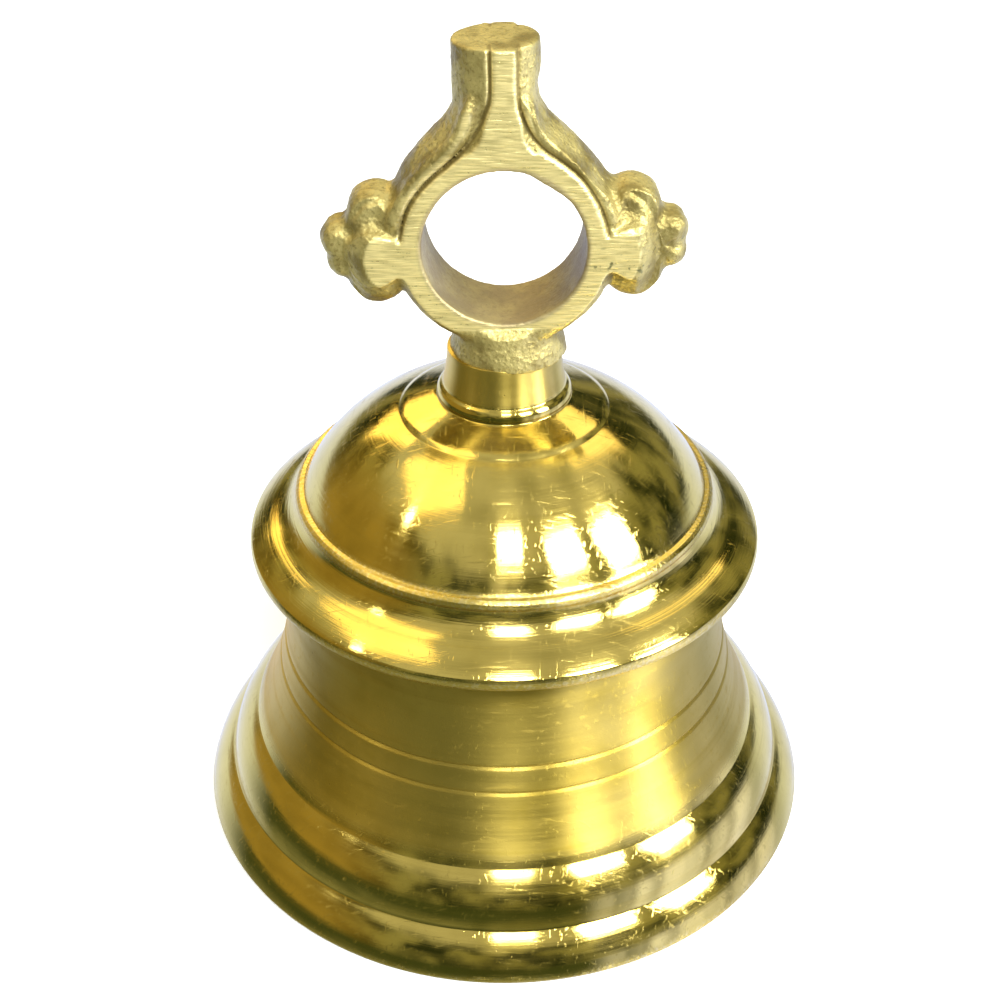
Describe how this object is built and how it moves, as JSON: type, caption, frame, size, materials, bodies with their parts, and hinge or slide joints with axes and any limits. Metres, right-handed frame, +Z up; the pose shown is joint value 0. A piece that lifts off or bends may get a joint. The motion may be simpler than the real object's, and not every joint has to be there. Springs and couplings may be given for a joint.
{
  "type": "temple bell",
  "caption": "Cast brass temple bell with a flared mouth, a stepped rim and dome, a lobed hanging ring on top and a ball clapper hung inside on a link.",
  "frame": {"origin": "centre of the mouth's plane, where the bell stands on its lip", "axes": "+Z up along the bell's axis, +Y along the hole of the hanging ring"},
  "size_m": [0.15, 0.15, 0.1895],
  "materials": {
    "turned_brass": "turned and polished",
    "rough_brass": "sand cast with filed faces",
    "ball_brass": "cast and fettled",
    "zinc_steel": "zinc plated",
    "black_steel": "bent wire and bar, dark oxide"
  },
  "bodies": {
    "root": {"bell_shell": "turned_brass", "hanging_ring": "rough_brass", "eye_bolt": "zinc_steel", "crown_washer": "zinc_steel", "spring_washer": "black_steel", "crown_nut": "zinc_steel"},
    "link": {"clapper_link": "black_steel"},
    "clapper": {"clapper_rod": "black_steel", "clapper_ball": "ball_brass", "ball_lock_nut": "zinc_steel"}
  },
  "joints": [
    {"name": "link_swing", "type": "hinge", "parent": "root", "child": "link", "pos_m": [0, 0, 0.0802], "axis": [1, 0, 0], "range_deg": [-8, 8]},
    {"name": "clapper_swing", "type": "hinge", "parent": "link", "child": "clapper", "pos_m": [0, 0, 0.0719], "axis": [0, 1, 0], "range_deg": [-40.3, 40.3]}
  ]
}
